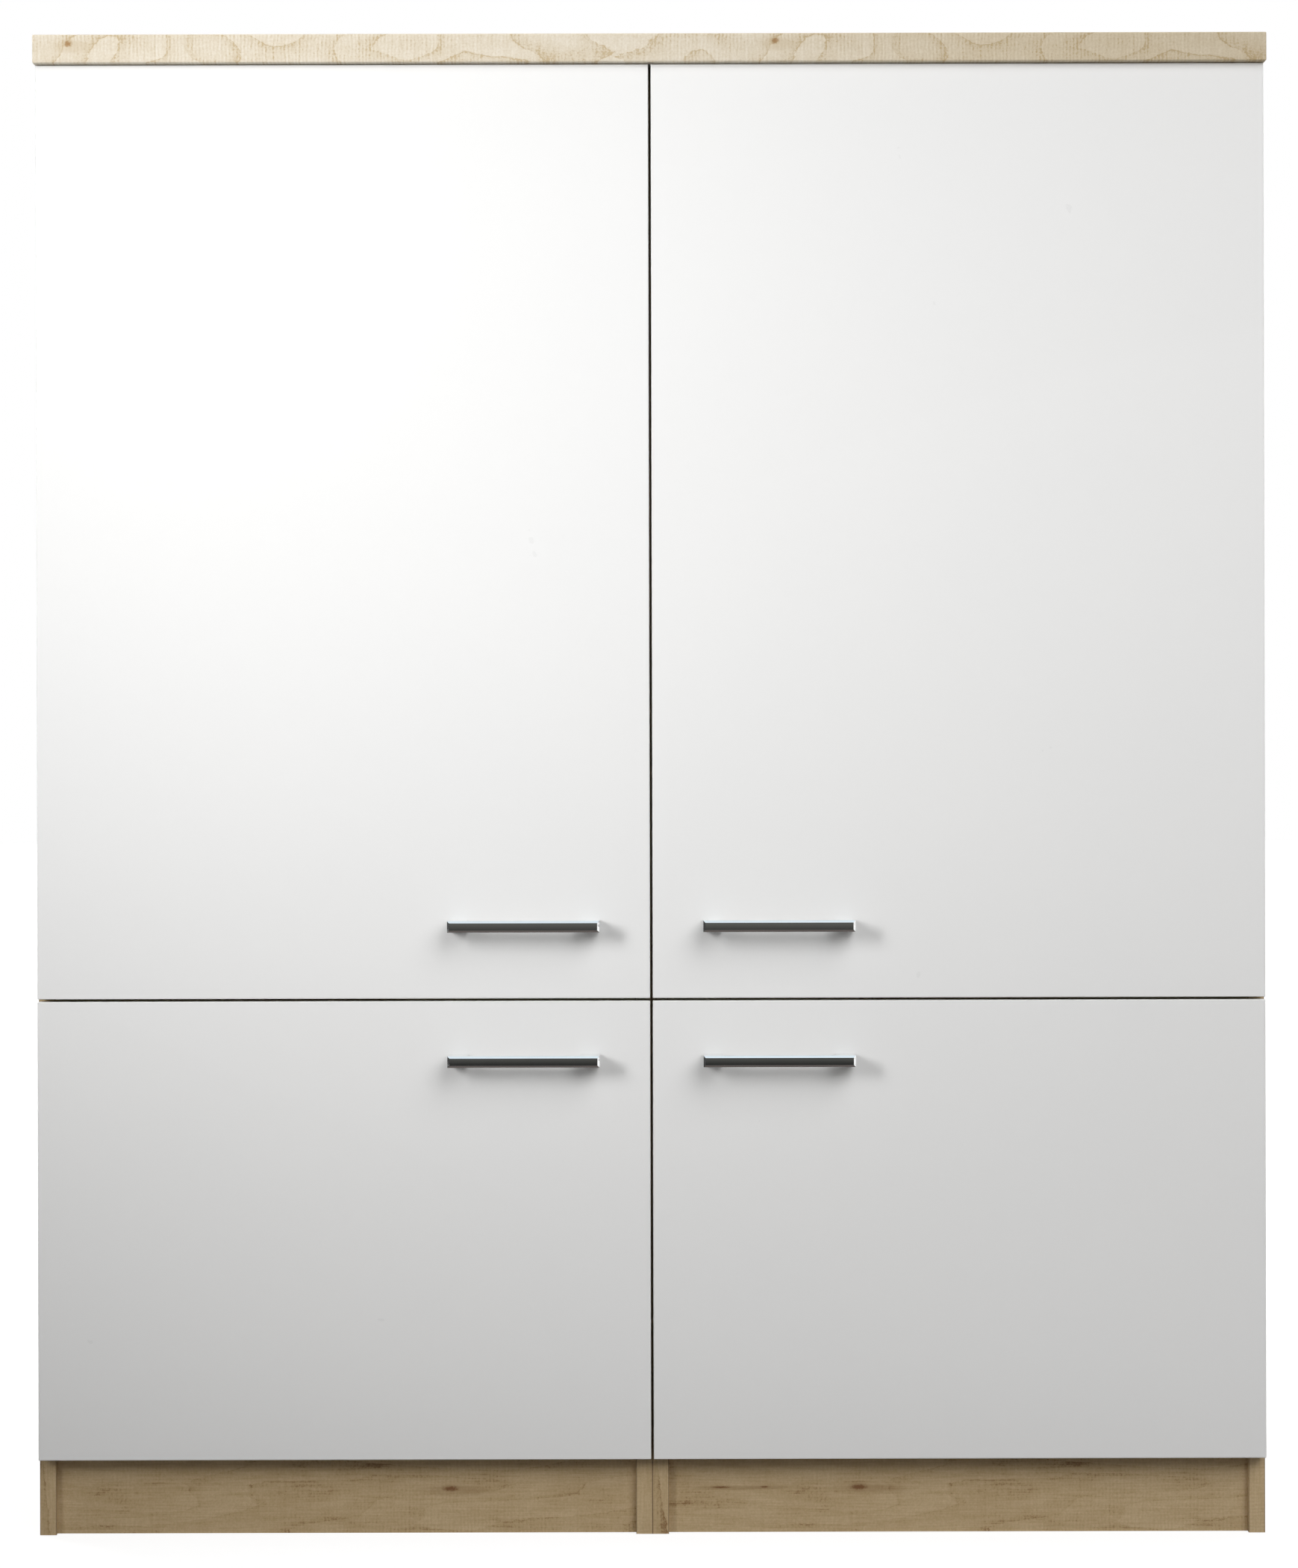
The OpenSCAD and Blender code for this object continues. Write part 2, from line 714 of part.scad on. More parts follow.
// A bow handle: a flat bar on two legs, with a bevel all round its front
module handle(side, row) {
    color(steel) unit(side) translate([handle_u, -door_gap - door_t - handle_out, handle_z(row) - handle_h / 2])
        difference() {
            intersection() {
                linear_extrude(handle_h) polygon([
                    [bevel, 0], [handle_len - bevel, 0], [handle_len, bevel], [handle_len, handle_out],
                    [handle_len - leg_w, handle_out], [handle_len - leg_w, bar_t], [leg_w, bar_t],
                    [leg_w, handle_out], [0, handle_out], [0, bevel]]);
                rotate([90, 0, 90]) linear_extrude(handle_len) polygon([
                    [0, bevel], [bevel, 0], [handle_out, 0], [handle_out, handle_h], [bevel, handle_h],
                    [0, handle_h - bevel]]);
            }
            for (u = [leg_w / 2, handle_len - leg_w / 2]) translate([u, 0, handle_h / 2])
                through(handle_screw_d + 2 * loose, handle_out - handle_bore_depth, handle_out + cut);
        }
}

// A door's screws: two long ones in the handle, and two short ones in each hinge cup
module door_screws(side, row) {
    color(steel) unit(side) {
        for (s = [-1, 1])
            translate([handle_u + handle_len / 2 + s * handle_pitch / 2, -door_gap, handle_z(row)])
                screw_in_y(handle_screw_d, door_t + handle_bore_depth - end_play, handle_head);
        for (z = hinge_heights(row), s = [-1, 1])
            translate([ear_u, -door_gap + flange_t, z + s * ear_pitch / 2])
                screw_in_y(cup_screw_d, flange_t + cup_screw_in, cup_head);
    }
}

// The hinge cup: a flange on the door, a round body sunk in it, and a pocket crossed by two pins
module hinge_cup() {
    difference() {
        union() {
            translate([0, -door_gap + flange_t, 0]) rotate([90, 0, 0]) linear_extrude(flange_t) {
                translate([cup_u, 0]) circle(d = flange_d);
                translate([ear_u - ear_size.x / 2, -ear_size.y / 2])
                    polygon(round_points(ear_size.x, ear_size.y, ear_corner));
            }
            translate([cup_u, 0, 0])
                through(cup_d, -door_gap - cup_cavity - cup_floor, flange_t / 2 - door_gap);
        }
        translate([0, -door_gap + flange_t + cut, 0]) rotate([90, 0, 0])
            linear_extrude(cup_cavity + flange_t + cut) intersection() {
                translate([cup_u, 0]) circle(d = cup_d - 2 * cup_wall);
                translate([0, -pocket_half]) square([2 * cup_u, 2 * pocket_half]);
            }
        for (s = [-1, 1]) translate([ear_u, 0, s * ear_pitch / 2])
            through(cup_screw_d + 2 * loose, -door_gap - cut, 0);
    }
    mirrored_pair() translate(carry_cup) plan_plate(carry_from - loose, pocket_half + merge) circle(pin_r);
    translate(guide_cup) plan_plate(-pocket_half - merge, pocket_half + merge) circle(pin_r);
}

module hinge_cups(side, row) {
    color(nickel) unit(side) for (z = hinge_heights(row)) translate([0, 0, z]) hinge_cup();
}

// The links that carry a door: a pair of plates a hinge, with an eye at each end
module carrying_links(side, row) {
    color(steel) unit(side) for (z = hinge_heights(row)) translate([0, 0, z]) mirrored_pair()
        plan_plate(carry_from, carry_from + link_t) difference() {
            union() {
                polygon(bar_points(carry_arm, carry_cup, link_r));
                translate(carry_arm) circle(eye_r);
                translate(carry_cup) circle(eye_r);
            }
            translate(carry_arm) circle(pin_r + loose);
            translate(carry_cup) circle(pin_r + loose);
        }
}

// The links that guide a door: one block a hinge, with an eye on the arm and a fork on the cup's pin
module guide_links(side, row) {
    run = guide_cup - guide_arm;
    reach = norm(run);
    turn = atan2(run.y, run.x);
    color(steel) unit(side) for (z = hinge_heights(row)) translate([0, 0, z])
        plan_plate(-guide_half, guide_half) translate(guide_arm) rotate(turn) difference() {
            union() {
                polygon(bar_points([0, 0], [reach, 0], link_r));
                circle(eye_r);
                translate([reach, 0]) polygon([
                    [-fork_r, -fork_r], [fork_tip - fork_bevel, -fork_r], [fork_tip, fork_bevel - fork_r],
                    [fork_tip, fork_r - fork_bevel], [fork_tip - fork_bevel, fork_r], [-fork_r, fork_r],
                    [-2 * fork_r, link_r / 2], [-2 * fork_r, -link_r / 2]]);
            }
            circle(pin_r + loose);
            translate([reach, 0]) circle(fork_slot_r);
            translate([reach, -fork_slot_r]) square([fork_tip + cut, 2 * fork_slot_r]);
        }
}

outer_side("left");  // left_outer_side
inner_side("left");  // left_inner_side
bottom("left");  // left_bottom
middle_shelf("left");  // left_middle_shelf
front_rail("left");  // left_front_rail
rear_rail("left");  // left_rear_rail
back("left");  // left_back
plinth("left");  // left_plinth
loose_shelf("left", low_shelf_z);  // left_low_shelf
loose_shelf("left", mid_shelf_z);  // left_mid_shelf
loose_shelf("left", high_shelf_z);  // left_high_shelf
outer_side("right");  // right_outer_side
inner_side("right");  // right_inner_side
bottom("right");  // right_bottom
middle_shelf("right");  // right_middle_shelf
front_rail("right");  // right_front_rail
rear_rail("right");  // right_rear_rail
back("right");  // right_back
plinth("right");  // right_plinth
loose_shelf("right", low_shelf_z);  // right_low_shelf
loose_shelf("right", mid_shelf_z);  // right_mid_shelf
loose_shelf("right", high_shelf_z);  // right_high_shelf
worktop();
shelf_pins();
hinge_plates();
hinge_arms();
hinge_screws();
cam_nuts();
cam_bolts();
dowels();
door_bumpers();
joining_screws();
worktop_screws();
worktop_brackets();
door("left", "upper");  // upper_left_door
handle("left", "upper");  // upper_left_handle
door_screws("left", "upper");  // upper_left_screws
hinge_cups("left", "upper");  // upper_left_hinge_cups
carrying_links("left", "upper");  // upper_left_carrying_links
guide_links("left", "upper");  // upper_left_guide_links
door("right", "upper");  // upper_right_door
handle("right", "upper");  // upper_right_handle
door_screws("right", "upper");  // upper_right_screws
hinge_cups("right", "upper");  // upper_right_hinge_cups
carrying_links("right", "upper");  // upper_right_carrying_links
guide_links("right", "upper");  // upper_right_guide_links
door("left", "lower");  // lower_left_door
handle("left", "lower");  // lower_left_handle
door_screws("left", "lower");  // lower_left_screws
hinge_cups("left", "lower");  // lower_left_hinge_cups
carrying_links("left", "lower");  // lower_left_carrying_links
guide_links("left", "lower");  // lower_left_guide_links
door("right", "lower");  // lower_right_door
handle("right", "lower");  // lower_right_handle
door_screws("right", "lower");  // lower_right_screws
hinge_cups("right", "lower");  // lower_right_hinge_cups
carrying_links("right", "lower");  // lower_right_carrying_links
guide_links("right", "lower");  // lower_right_guide_links
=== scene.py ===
# Tall utility cabinet: oak-decor boards and worktop, white doors, polished bow handles
import math

import bpy
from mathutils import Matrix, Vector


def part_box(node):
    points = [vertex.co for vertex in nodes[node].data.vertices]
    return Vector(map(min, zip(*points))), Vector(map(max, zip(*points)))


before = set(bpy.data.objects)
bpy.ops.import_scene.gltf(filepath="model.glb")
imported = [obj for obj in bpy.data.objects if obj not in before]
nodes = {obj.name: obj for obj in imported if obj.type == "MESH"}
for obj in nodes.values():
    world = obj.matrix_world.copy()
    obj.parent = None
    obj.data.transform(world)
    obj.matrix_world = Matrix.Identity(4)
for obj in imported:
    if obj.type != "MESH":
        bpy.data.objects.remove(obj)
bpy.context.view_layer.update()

print("frame loaded:", len(nodes), "nodes")

# Everything is in metres. The front looks along -Y, and the floor is z = 0.
worktopLow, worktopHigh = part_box("worktop")
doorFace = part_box("upper_left_door")[0].y
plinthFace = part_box("left_plinth")[0].y

camera = {
    "lens": 79.95,        # millimetres
    "sensor": 36,         # millimetres, along the picture's long side
    "distance": 3.391,    # from the doors' faces
    "height": 0.7343,     # half way up the cabinet
    "side": -0.0019,
    "tip": 90,            # degrees: level
    "roll": 0.00235,      # radians: the picture leans by an eighth of a degree
}

eye = bpy.data.cameras.new("eye")
eye.lens = camera["lens"]
eye.sensor_width = camera["sensor"]
viewer = bpy.data.objects.new("viewer", eye)
viewer.location = (camera["side"], doorFace - camera["distance"], camera["height"])
viewer.rotation_euler = (math.radians(camera["tip"]), camera["roll"], 0)
bpy.context.scene.collection.objects.link(viewer)
bpy.context.scene.camera = viewer


# Small helpers for materials. put() makes a node, and links or sets its inputs.
def put(tree, kind, inputs=None, **settings):
    node = tree.nodes.new(kind)
    for key, value in settings.items():
        setattr(node, key, value)
    for key, value in (inputs or {}).items():
        if isinstance(value, bpy.types.NodeSocket):
            tree.links.new(value, node.inputs[key])
        else:
            node.inputs[key].default_value = value
    return node


def calc(tree, operation, *values):
    return put(tree, "ShaderNodeMath", dict(enumerate(values)), operation=operation).outputs[0]


def hypotenuse(tree, a, b):
    squares = calc(tree, "ADD", calc(tree, "MULTIPLY", a, a), calc(tree, "MULTIPLY", b, b))
    return calc(tree, "SQRT", squares)


def fade(tree, value, start, end, low=0.0, high=1.0):
    # low at start, high at end, smooth between them
    return put(tree, "ShaderNodeMapRange", {0: value, 1: start, 2: end, 3: low, 4: high},
               interpolation_type="SMOOTHSTEP").outputs[0]


def either(tree, switch, first, second):
    # the first number where the switch is 0, the second where it is 1
    return put(tree, "ShaderNodeMix", {0: switch, 2: first, 3: second}).outputs[0]


def vector(tree, x, y, z):
    return put(tree, "ShaderNodeCombineXYZ", {0: x, 1: y, 2: z}).outputs[0]


def parts(tree, whole):
    return put(tree, "ShaderNodeSeparateXYZ", {0: whole}).outputs


def noise(tree, place, scale=1.0, detail=2.0, rough=0.5, seed=0.0):
    return put(tree, "ShaderNodeTexNoise",
               {"Vector": place, "W": seed, "Scale": scale, "Detail": detail, "Roughness": rough},
               noise_dimensions="4D").outputs[0]


def blendColour(tree, factor, first, second, kind="MIX"):
    return put(tree, "ShaderNodeMix", {0: factor, 6: first, 7: second},
               data_type="RGBA", blend_type=kind).outputs[2]


def colourSteps(tree, factor, steps):
    ramp = put(tree, "ShaderNodeValToRGB", {0: factor})
    stops = ramp.color_ramp.elements
    while len(stops) < len(steps):
        stops.new(0.5)
    for stop, (position, colour) in zip(stops, steps):
        stop.position = position
        stop.color = (*colour, 1)
    return ramp.outputs[0]


def bump(tree, height, distance, strength=1.0):
    inputs = {"Height": height, "Distance": distance, "Strength": strength}
    return put(tree, "ShaderNodeBump", inputs).outputs[0]


def newMaterial(name):
    material = bpy.data.materials.new(name)
    material.use_nodes = True
    tree = material.node_tree
    shader = tree.nodes["Principled BSDF"]
    return material, tree, shader


def feed(tree, shader, **inputs):
    names = {"colour": "Base Color", "rough": "Roughness", "normal": "Normal", "metal": "Metallic"}
    for key, value in inputs.items():
        socket = shader.inputs[names[key]]
        if isinstance(value, bpy.types.NodeSocket):
            tree.links.new(value, socket)
        else:
            socket.default_value = value


def ownPlace(tree):
    # the object's own coordinates, which stay with it when it moves
    return put(tree, "ShaderNodeTexCoord").outputs["Object"]


def ownFacing(tree):
    # the way that the surface faces, in the same coordinates
    return parts(tree, put(tree, "ShaderNodeTexCoord").outputs["Normal"])


# Printed oak decor: flame lines, mottling, saw marks across the grain and small knots.
# The print repeats along the grain, so its noise runs round a circle of that length.
# Each pair of scales is in features a metre, along the grain and across it.
oak = {
    "repeat": 0.687,
    "pale": (0.82, 0.755, 0.645),
    "warm": (0.69, 0.60, 0.455),
    "line": (0.57, 0.445, 0.27),
    "knot": (0.36, 0.20, 0.075),
    "darkness": (0.44, 0.86, 1.0),   # of the print where it is pale, warm and line-coloured
    "weights": {"shade": 0.24, "line": 0.24, "mottle": 0.40, "saw": 0.20, "fibre": 0.17, "speck": 0.78},
    "flames": (11.0, 15.0, 6.5),     # scales, and lines from low to high
    "slope": 9.0,                    # further lines a metre across the grain
    "ragged": (150, 220, 0.24),      # scales, and how far a line strays toward the next
    "lineWidth": 0.045,              # as a share of the way to the next line
    "lineGaps": (19, 60),
    "lineBreaks": (420, 420),
    "shadeCurve": 2.5,               # a band darkens late, close to its line
    "streaks": (420, 28),
    "sawPitch": 0.0036,
    "sawWander": (34, 60, 0.0042),   # scales, and how far a saw mark strays
    "sawPatches": (4.0, 9),
    "sawBreaks": (260, 120),
    "fibres": (70, 900),
    "specks": (520, 480),
    "patches": (17, 46),
    "reliefDepth": 0.00010,
    "rough": 0.46,
    "roughMottle": 0.16,             # how much rougher the mottling makes it
}


def knotColour(tree, colour, knot, along, across, speck, mottle, look):
    # a ragged core in a stain that trails away along the grain, both sized in the knot's radius
    knotAlong, knotAcross, radius, stretch = knot
    a = calc(tree, "DIVIDE", calc(tree, "SUBTRACT", along, knotAlong), stretch)
    c = calc(tree, "SUBTRACT", across, knotAcross)
    trail = calc(tree, "DIVIDE", calc(tree, "SUBTRACT", a, radius * 1.5), 2.4)
    sink = calc(tree, "ADD", c, radius * 0.9)
    away = calc(tree, "MULTIPLY_ADD", calc(tree, "SUBTRACT", speck, 0.5), radius * 2.2,
                hypotenuse(tree, a, c))
    stain = calc(tree, "MULTIPLY_ADD", calc(tree, "SUBTRACT", mottle, 0.5), radius * 4.0,
                 hypotenuse(tree, trail, sink))
    halo = calc(tree, "MAXIMUM", fade(tree, away, radius * 0.9, radius * 2.6, 0.7, 0.0),
                fade(tree, stain, radius * 1.2, radius * 3.6, 0.34, 0.0))
    core = fade(tree, away, radius * 0.5, radius * 1.5, 0.9, 0.0)
    colour = blendColour(tree, halo, colour, (*look["line"], 1))
    return blendColour(tree, core, colour, (*look["knot"], 1))


def oakDecor(tree, along, across, look, knots=()):
    turn = calc(tree, "MULTIPLY", along, 2 * math.pi / look["repeat"])
    sine, cosine = calc(tree, "SINE", turn), calc(tree, "COSINE", turn)

    def grain(alongScale, acrossScale, seed, detail=2.0, rough=0.5):
        # noise with its own scale along the grain and across it
        radius = look["repeat"] * alongScale / (2 * math.pi)
        spot = vector(tree, calc(tree, "MULTIPLY", cosine, radius), calc(tree, "MULTIPLY", sine, radius),
                      calc(tree, "MULTIPLY", across, acrossScale))
        return noise(tree, spot, 1.0, detail, rough, seed + look["seed"])

    # flames: lines of equal height in a slow noise, a little ragged, that come and go
    flameAlong, flameAcross, flameLines = look["flames"]
    level = calc(tree, "MULTIPLY_ADD", grain(flameAlong, flameAcross, 1.0, 1.0, 0.4), flameLines,
                 calc(tree, "MULTIPLY", across, look["slope"]))
    raggedAlong, raggedAcross, stray = look["ragged"]
    ragged = calc(tree, "MULTIPLY_ADD", grain(raggedAlong, raggedAcross, 2.0, 3.0, 0.65), stray, level)
    ring = calc(tree, "FRACT", ragged)
    near = calc(tree, "PINGPONG", ragged, 0.5)
    line = fade(tree, near, 0.0, look["lineWidth"], 1.0, 0.0)
    here = fade(tree, grain(*look["lineGaps"], 3.0), 0.42, 0.60)
    whole = fade(tree, grain(*look["lineBreaks"], 3.5, 1.0), 0.25, 0.6, 0.35, 1.0)
    line = calc(tree, "MULTIPLY", calc(tree, "MULTIPLY", line, here), whole)
    shade = calc(tree, "POWER", ring, look["shadeCurve"])

    # saw marks, in patches, and streaks beside them
    wanderAlong, wanderAcross, wander = look["sawWander"]
    sawPlace = calc(tree, "MULTIPLY_ADD", grain(wanderAlong, wanderAcross, 5.0, 2.0), wander, along)
    wave = calc(tree, "SINE", calc(tree, "MULTIPLY", sawPlace, 2 * math.pi / look["sawPitch"]))
    patch = fade(tree, grain(*look["sawPatches"], 6.0, 1.0), 0.42, 0.66)
    broken = fade(tree, grain(*look["sawBreaks"], 6.5, 2.0), 0.3, 0.6)
    saw = calc(tree, "MULTIPLY", calc(tree, "MULTIPLY", wave, 0.6), calc(tree, "MULTIPLY", patch, broken))
    streak = grain(*look["streaks"], 4.0, 2.0)
    saw = calc(tree, "ADD", saw, calc(tree, "MULTIPLY_ADD", streak, 2.0, -1.0))

    fibre = grain(*look["fibres"], 7.0, 2.0)
    speck = grain(*look["specks"], 8.0, 2.0, 0.7)
    mottle = grain(*look["patches"], 9.0, 3.0, 0.55)

    dark = 0.0
    layers = {"shade": shade, "line": line, "mottle": mottle, "saw": saw, "fibre": fibre, "speck": speck}
    for layer, weight in look["weights"].items():
        dark = calc(tree, "MULTIPLY_ADD", layers[layer], weight, dark)
    colour = colourSteps(tree, dark, list(zip(look["darkness"], (look["pale"], look["warm"], look["line"]))))
    for knot in knots:
        colour = knotColour(tree, colour, knot, along, across, speck, mottle, look)

    height = calc(tree, "MULTIPLY_ADD", saw, 0.8, calc(tree, "MULTIPLY", fibre, 0.6))
    height = calc(tree, "MULTIPLY_ADD", line, -0.5, height)
    return colour, height, mottle


chipboard = {
    "flake": (0.62, 0.47, 0.30),
    "dust": (0.44, 0.31, 0.18),
    "flakes": 420,      # a metre
    "grit": 1300,       # grains a metre
}


def chipboardColour(tree, place):
    flakes = put(tree, "ShaderNodeTexVoronoi",
                 {"Vector": place, "Scale": chipboard["flakes"], "Randomness": 1.0})
    tone = put(tree, "ShaderNodeSeparateColor", {0: flakes.outputs["Color"]}).outputs[0]
    grit = noise(tree, place, chipboard["grit"], 2.0)
    tone = calc(tree, "MULTIPLY_ADD", grit, 0.5, calc(tree, "MULTIPLY", tone, 0.6))
    return colourSteps(tree, tone, [(0.2, chipboard["dust"]), (0.75, chipboard["flake"])])


# A fine dark glue line runs along both sides of each upright board's edge strip
glue = {
    "lines": (0.016, 0.584, 0.6),    # from the cabinet's middle, which has one as well
    "width": 0.0004,
    "amount": 0.7,
    "colour": (0.13, 0.07, 0.04),
}
faceLean = 0.6     # a face counts as front or side where its normal leans that far


def glueLine(tree, side):
    # 1 on a glue line, going by the distance from the cabinet's middle
    side = calc(tree, "ABSOLUTE", side)
    gap = side
    for line in glue["lines"]:
        gap = calc(tree, "MINIMUM", gap, calc(tree, "ABSOLUTE", calc(tree, "SUBTRACT", side, line)))
    return fade(tree, gap, glue["width"], glue["width"] * 2, glue["amount"], 0.0)


def oakMaterial(name, grainAxis, faceAxis, look, knots=()):
    # The decor is on the board's two faces and its front edge; the other edges are bare chipboard
    material, tree, shader = newMaterial(name)
    place, facing = ownPlace(tree), ownFacing(tree)
    spot = parts(tree, place)
    if grainAxis == "X":
        along, across = spot[0], calc(tree, "ADD", spot[1], spot[2])
    else:
        along, across = spot[2], calc(tree, "ADD", spot[0], spot[1])
    colour, height, mottle = oakDecor(tree, along, across, look, knots)
    face = calc(tree, "GREATER_THAN", calc(tree, "ABSOLUTE", facing["XYZ".index(faceAxis)]), faceLean)
    front = calc(tree, "LESS_THAN", facing[1], -faceLean)
    if faceAxis == "X":
        line = calc(tree, "MULTIPLY", glueLine(tree, spot[0]), front)
        colour = blendColour(tree, line, colour, (*glue["colour"], 1))
    decor = calc(tree, "MAXIMUM", face, front)
    colour = blendColour(tree, decor, chipboardColour(tree, place), colour)
    rough = calc(tree, "MULTIPLY_ADD", mottle, look["roughMottle"], look["rough"])
    feed(tree, shader, colour=colour, rough=rough, normal=bump(tree, height, look["reliefDepth"], 0.8))
    return material


# The worktop has cross-cut flames on its edge strips and long ones on top.
# A knot is a place along and across the grain, a radius, and how far it is drawn out.
worktop = {
    "sideLean": 0.7,                 # of the normal, on the top and the ends
    "underLean": 0.9,
    "paper": (0.74, 0.71, 0.66),     # backs the sheet underneath
    "paperStart": 0.012,             # the front strip wraps that far under
    "rightShadeTint": (0.86, 0.81, 0.71),       # painted shade: the sheet is darker and yellower toward its right end, partly for the light falling off there and partly the print's own tone
    "rightShadeFrom": -0.05,
    "rightShadeTo": 0.42,
    "rearSkin": 0.0004,              # bare chipboard at the rear
}
stripLook = dict(oak, seed=0.0, rough=0.42)
topLook = dict(
    oak, seed=1.3, flames=(1.7, 12.0, 8.0), patches=(6, 40), fibres=(26, 620),
    weights={"shade": 0.16, "line": 0.20, "mottle": 0.50, "saw": 0.10, "fibre": 0.30, "speck": 0.50})
worktopKnots = [
    (-0.5647, worktopLow.y + 1.4547, 0.0024, 1.3),
    (0.1222, worktopLow.y + 1.4561, 0.0024, 1.3),
]


def worktopMaterial():
    material, tree, shader = newMaterial("oakWorktop")
    place, facing = ownPlace(tree), ownFacing(tree)
    spot = parts(tree, place)
    end = calc(tree, "GREATER_THAN", calc(tree, "ABSOLUTE", facing[0]), worktop["sideLean"])
    along = either(tree, end, spot[0], spot[1])
    across = calc(tree, "ADD", spot[2], worktopLow.y)
    colour, height, mottle = oakDecor(tree, along, across, stripLook, worktopKnots)
    topColour, topHeight = oakDecor(tree, spot[0], spot[1], topLook)[:2]
    top = calc(tree, "GREATER_THAN", facing[2], worktop["sideLean"])
    colour = blendColour(tree, top, colour, topColour)
    height = either(tree, top, height, topHeight)
    # painted shade toward the worktop's right end, where the light falls off, mixed with a warmer print tone
    # there
    rightShading = fade(tree, spot[0], worktop["rightShadeFrom"], worktop["rightShadeTo"])
    colour = blendColour(tree, rightShading, colour, (*worktop["rightShadeTint"], 1), "MULTIPLY")
    under = calc(tree, "LESS_THAN", facing[2], -worktop["underLean"])
    behindStrip = calc(tree, "GREATER_THAN", spot[1], worktopLow.y + worktop["paperStart"])
    under = calc(tree, "MULTIPLY", under, behindStrip)
    colour = blendColour(tree, under, colour, (*worktop["paper"], 1))
    rear = calc(tree, "GREATER_THAN", spot[1], worktopHigh.y - worktop["rearSkin"])
    colour = blendColour(tree, rear, colour, chipboardColour(tree, place))
    rough = calc(tree, "MULTIPLY_ADD", mottle, stripLook["roughMottle"], stripLook["rough"])
    feed(tree, shader, colour=colour, rough=rough, normal=bump(tree, height, stripLook["reliefDepth"], 0.9))
    return material


# The cupboards' boards are a browner oak, with long flames on the wide ones
boardLook = dict(
    oak, seed=3.7, pale=(0.71, 0.555, 0.345), warm=(0.52, 0.375, 0.20), line=(0.31, 0.18, 0.08),
    knot=(0.22, 0.10, 0.04), flames=(3.4, 24.0, 9.0), fibres=(30, 640),
    weights={"shade": 0.10, "line": 0.12, "mottle": 0.55, "saw": 0.07, "fibre": 0.44, "speck": 0.46})
panelLook = dict(
    boardLook, flames=(1.6, 11.0, 11.0), patches=(3.5, 38),
    weights={"shade": 0.17, "line": 0.17, "mottle": 0.46, "saw": 0.07, "fibre": 0.44, "speck": 0.42})
plinthKnots = [
    (-0.198, plinthFace + 0.0432, 0.0019, 3.0),
    (0.203, plinthFace + 0.0439, 0.0019, 3.0),
    (0.067, plinthFace + 0.0438, 0.0007, 9.0),
    (0.110, plinthFace + 0.0442, 0.0006, 5.0),
]
uprightOak = oakMaterial("oakUpright", "Z", "X", panelLook)
flatOak = oakMaterial("oakFlat", "X", "Z", panelLook)
railOak = oakMaterial("oakRail", "X", "Y", boardLook, plinthKnots)
worktopOak = worktopMaterial()


def dress(name, material):
    node = nodes[name]
    node.data.materials.clear()
    node.data.materials.append(material)


for side in ("left", "right"):
    for board in ("outer_side", "inner_side"):
        dress(f"{side}_{board}", uprightOak)
    for board in ("bottom", "middle_shelf", "front_rail", "low_shelf", "mid_shelf", "high_shelf"):
        dress(f"{side}_{board}", flatOak)
    for board in ("rear_rail", "plinth"):
        dress(f"{side}_{board}", railOak)
dress("worktop", worktopOak)
print("boards dressed")


# White doors: a smooth coating with a faint orange peel, and a thin band round the edges
doorCoat = {
    "white": (0.93, 0.93, 0.925),
    "cloud": (0.915, 0.918, 0.918),
    "cloudAmount": 0.35,
    "band": (0.90, 0.90, 0.89),
    "bandWidth": 0.0011,
    "bandBlur": 0.0002,
    "rough": 0.24,
    "smudges": 0.12,       # how much rougher fingers leave it
    "peelDepth": 0.000012,
}


def doorMaterial(name, low, high):
    material, tree, shader = newMaterial(name)
    place = ownPlace(tree)
    spot = parts(tree, place)

    def inside(value, start, end):
        # the distance to the nearer of two edges
        return calc(tree, "MINIMUM", calc(tree, "SUBTRACT", value, start), calc(tree, "SUBTRACT", end, value))

    edge = calc(tree, "MINIMUM", inside(spot[0], low.x, high.x), inside(spot[2], low.z, high.z))
    band = fade(tree, edge, doorCoat["bandWidth"], doorCoat["bandWidth"] - doorCoat["bandBlur"])
    cloud = noise(tree, place, 5.0, 3.0, 0.5, 2.0)
    smudge = noise(tree, place, 16.0, 4.0, 0.6, 5.0)
    peel = noise(tree, place, 700.0, 2.0, 0.5, 1.0)
    cloudy = fade(tree, cloud, 0.3, 0.7, 0.0, doorCoat["cloudAmount"])
    colour = blendColour(tree, band, (*doorCoat["white"], 1), (*doorCoat["band"], 1))
    colour = blendColour(tree, cloudy, colour, (*doorCoat["cloud"], 1))
    rough = calc(tree, "MULTIPLY_ADD", smudge, doorCoat["smudges"], doorCoat["rough"])
    feed(tree, shader, colour=colour, rough=rough, normal=bump(tree, peel, doorCoat["peelDepth"], 0.6))
    return material


# Bow handles: polished metal with a trace of the polishing along the bar
handleMetal = {
    "colour": (0.90, 0.91, 0.91),
    "worn": (0.84, 0.85, 0.85),
    "rough": 0.04,
    "metal": 1.0,
    "lines": (40, 2600, 2600),     # polishing lines a metre along, across and up
    "lineDepth": 0.000004,
    "edge": 0.002,                 # height of the bevels
    "crown": 12.0,                 # how round polishing leaves the front face
    "lean": 0.15,                  # how much further down the lower bevel faces
}

# Small fittings are dull with plating and grease, so they take some light of their own
nickel = {
    "colour": (0.80, 0.79, 0.76),
    "worn": (0.68, 0.66, 0.62),
    "rough": 0.28,
    "metal": 0.72,
    "lines": (300, 300, 300),
    "lineDepth": 0.000004,
}
screwSteel = dict(nickel, colour=(0.74, 0.75, 0.76), worn=(0.62, 0.62, 0.60), rough=0.32,
                  lines=(900, 900, 900))
linkSteel = dict(nickel, colour=(0.68, 0.68, 0.66), worn=(0.57, 0.57, 0.55), rough=0.30,
                 lines=(500, 500, 500))
zincCasting = dict(nickel, colour=(0.62, 0.63, 0.64), worn=(0.49, 0.50, 0.51), rough=0.44, metal=0.66,
                   lines=(700, 700, 700), lineDepth=0.00003)


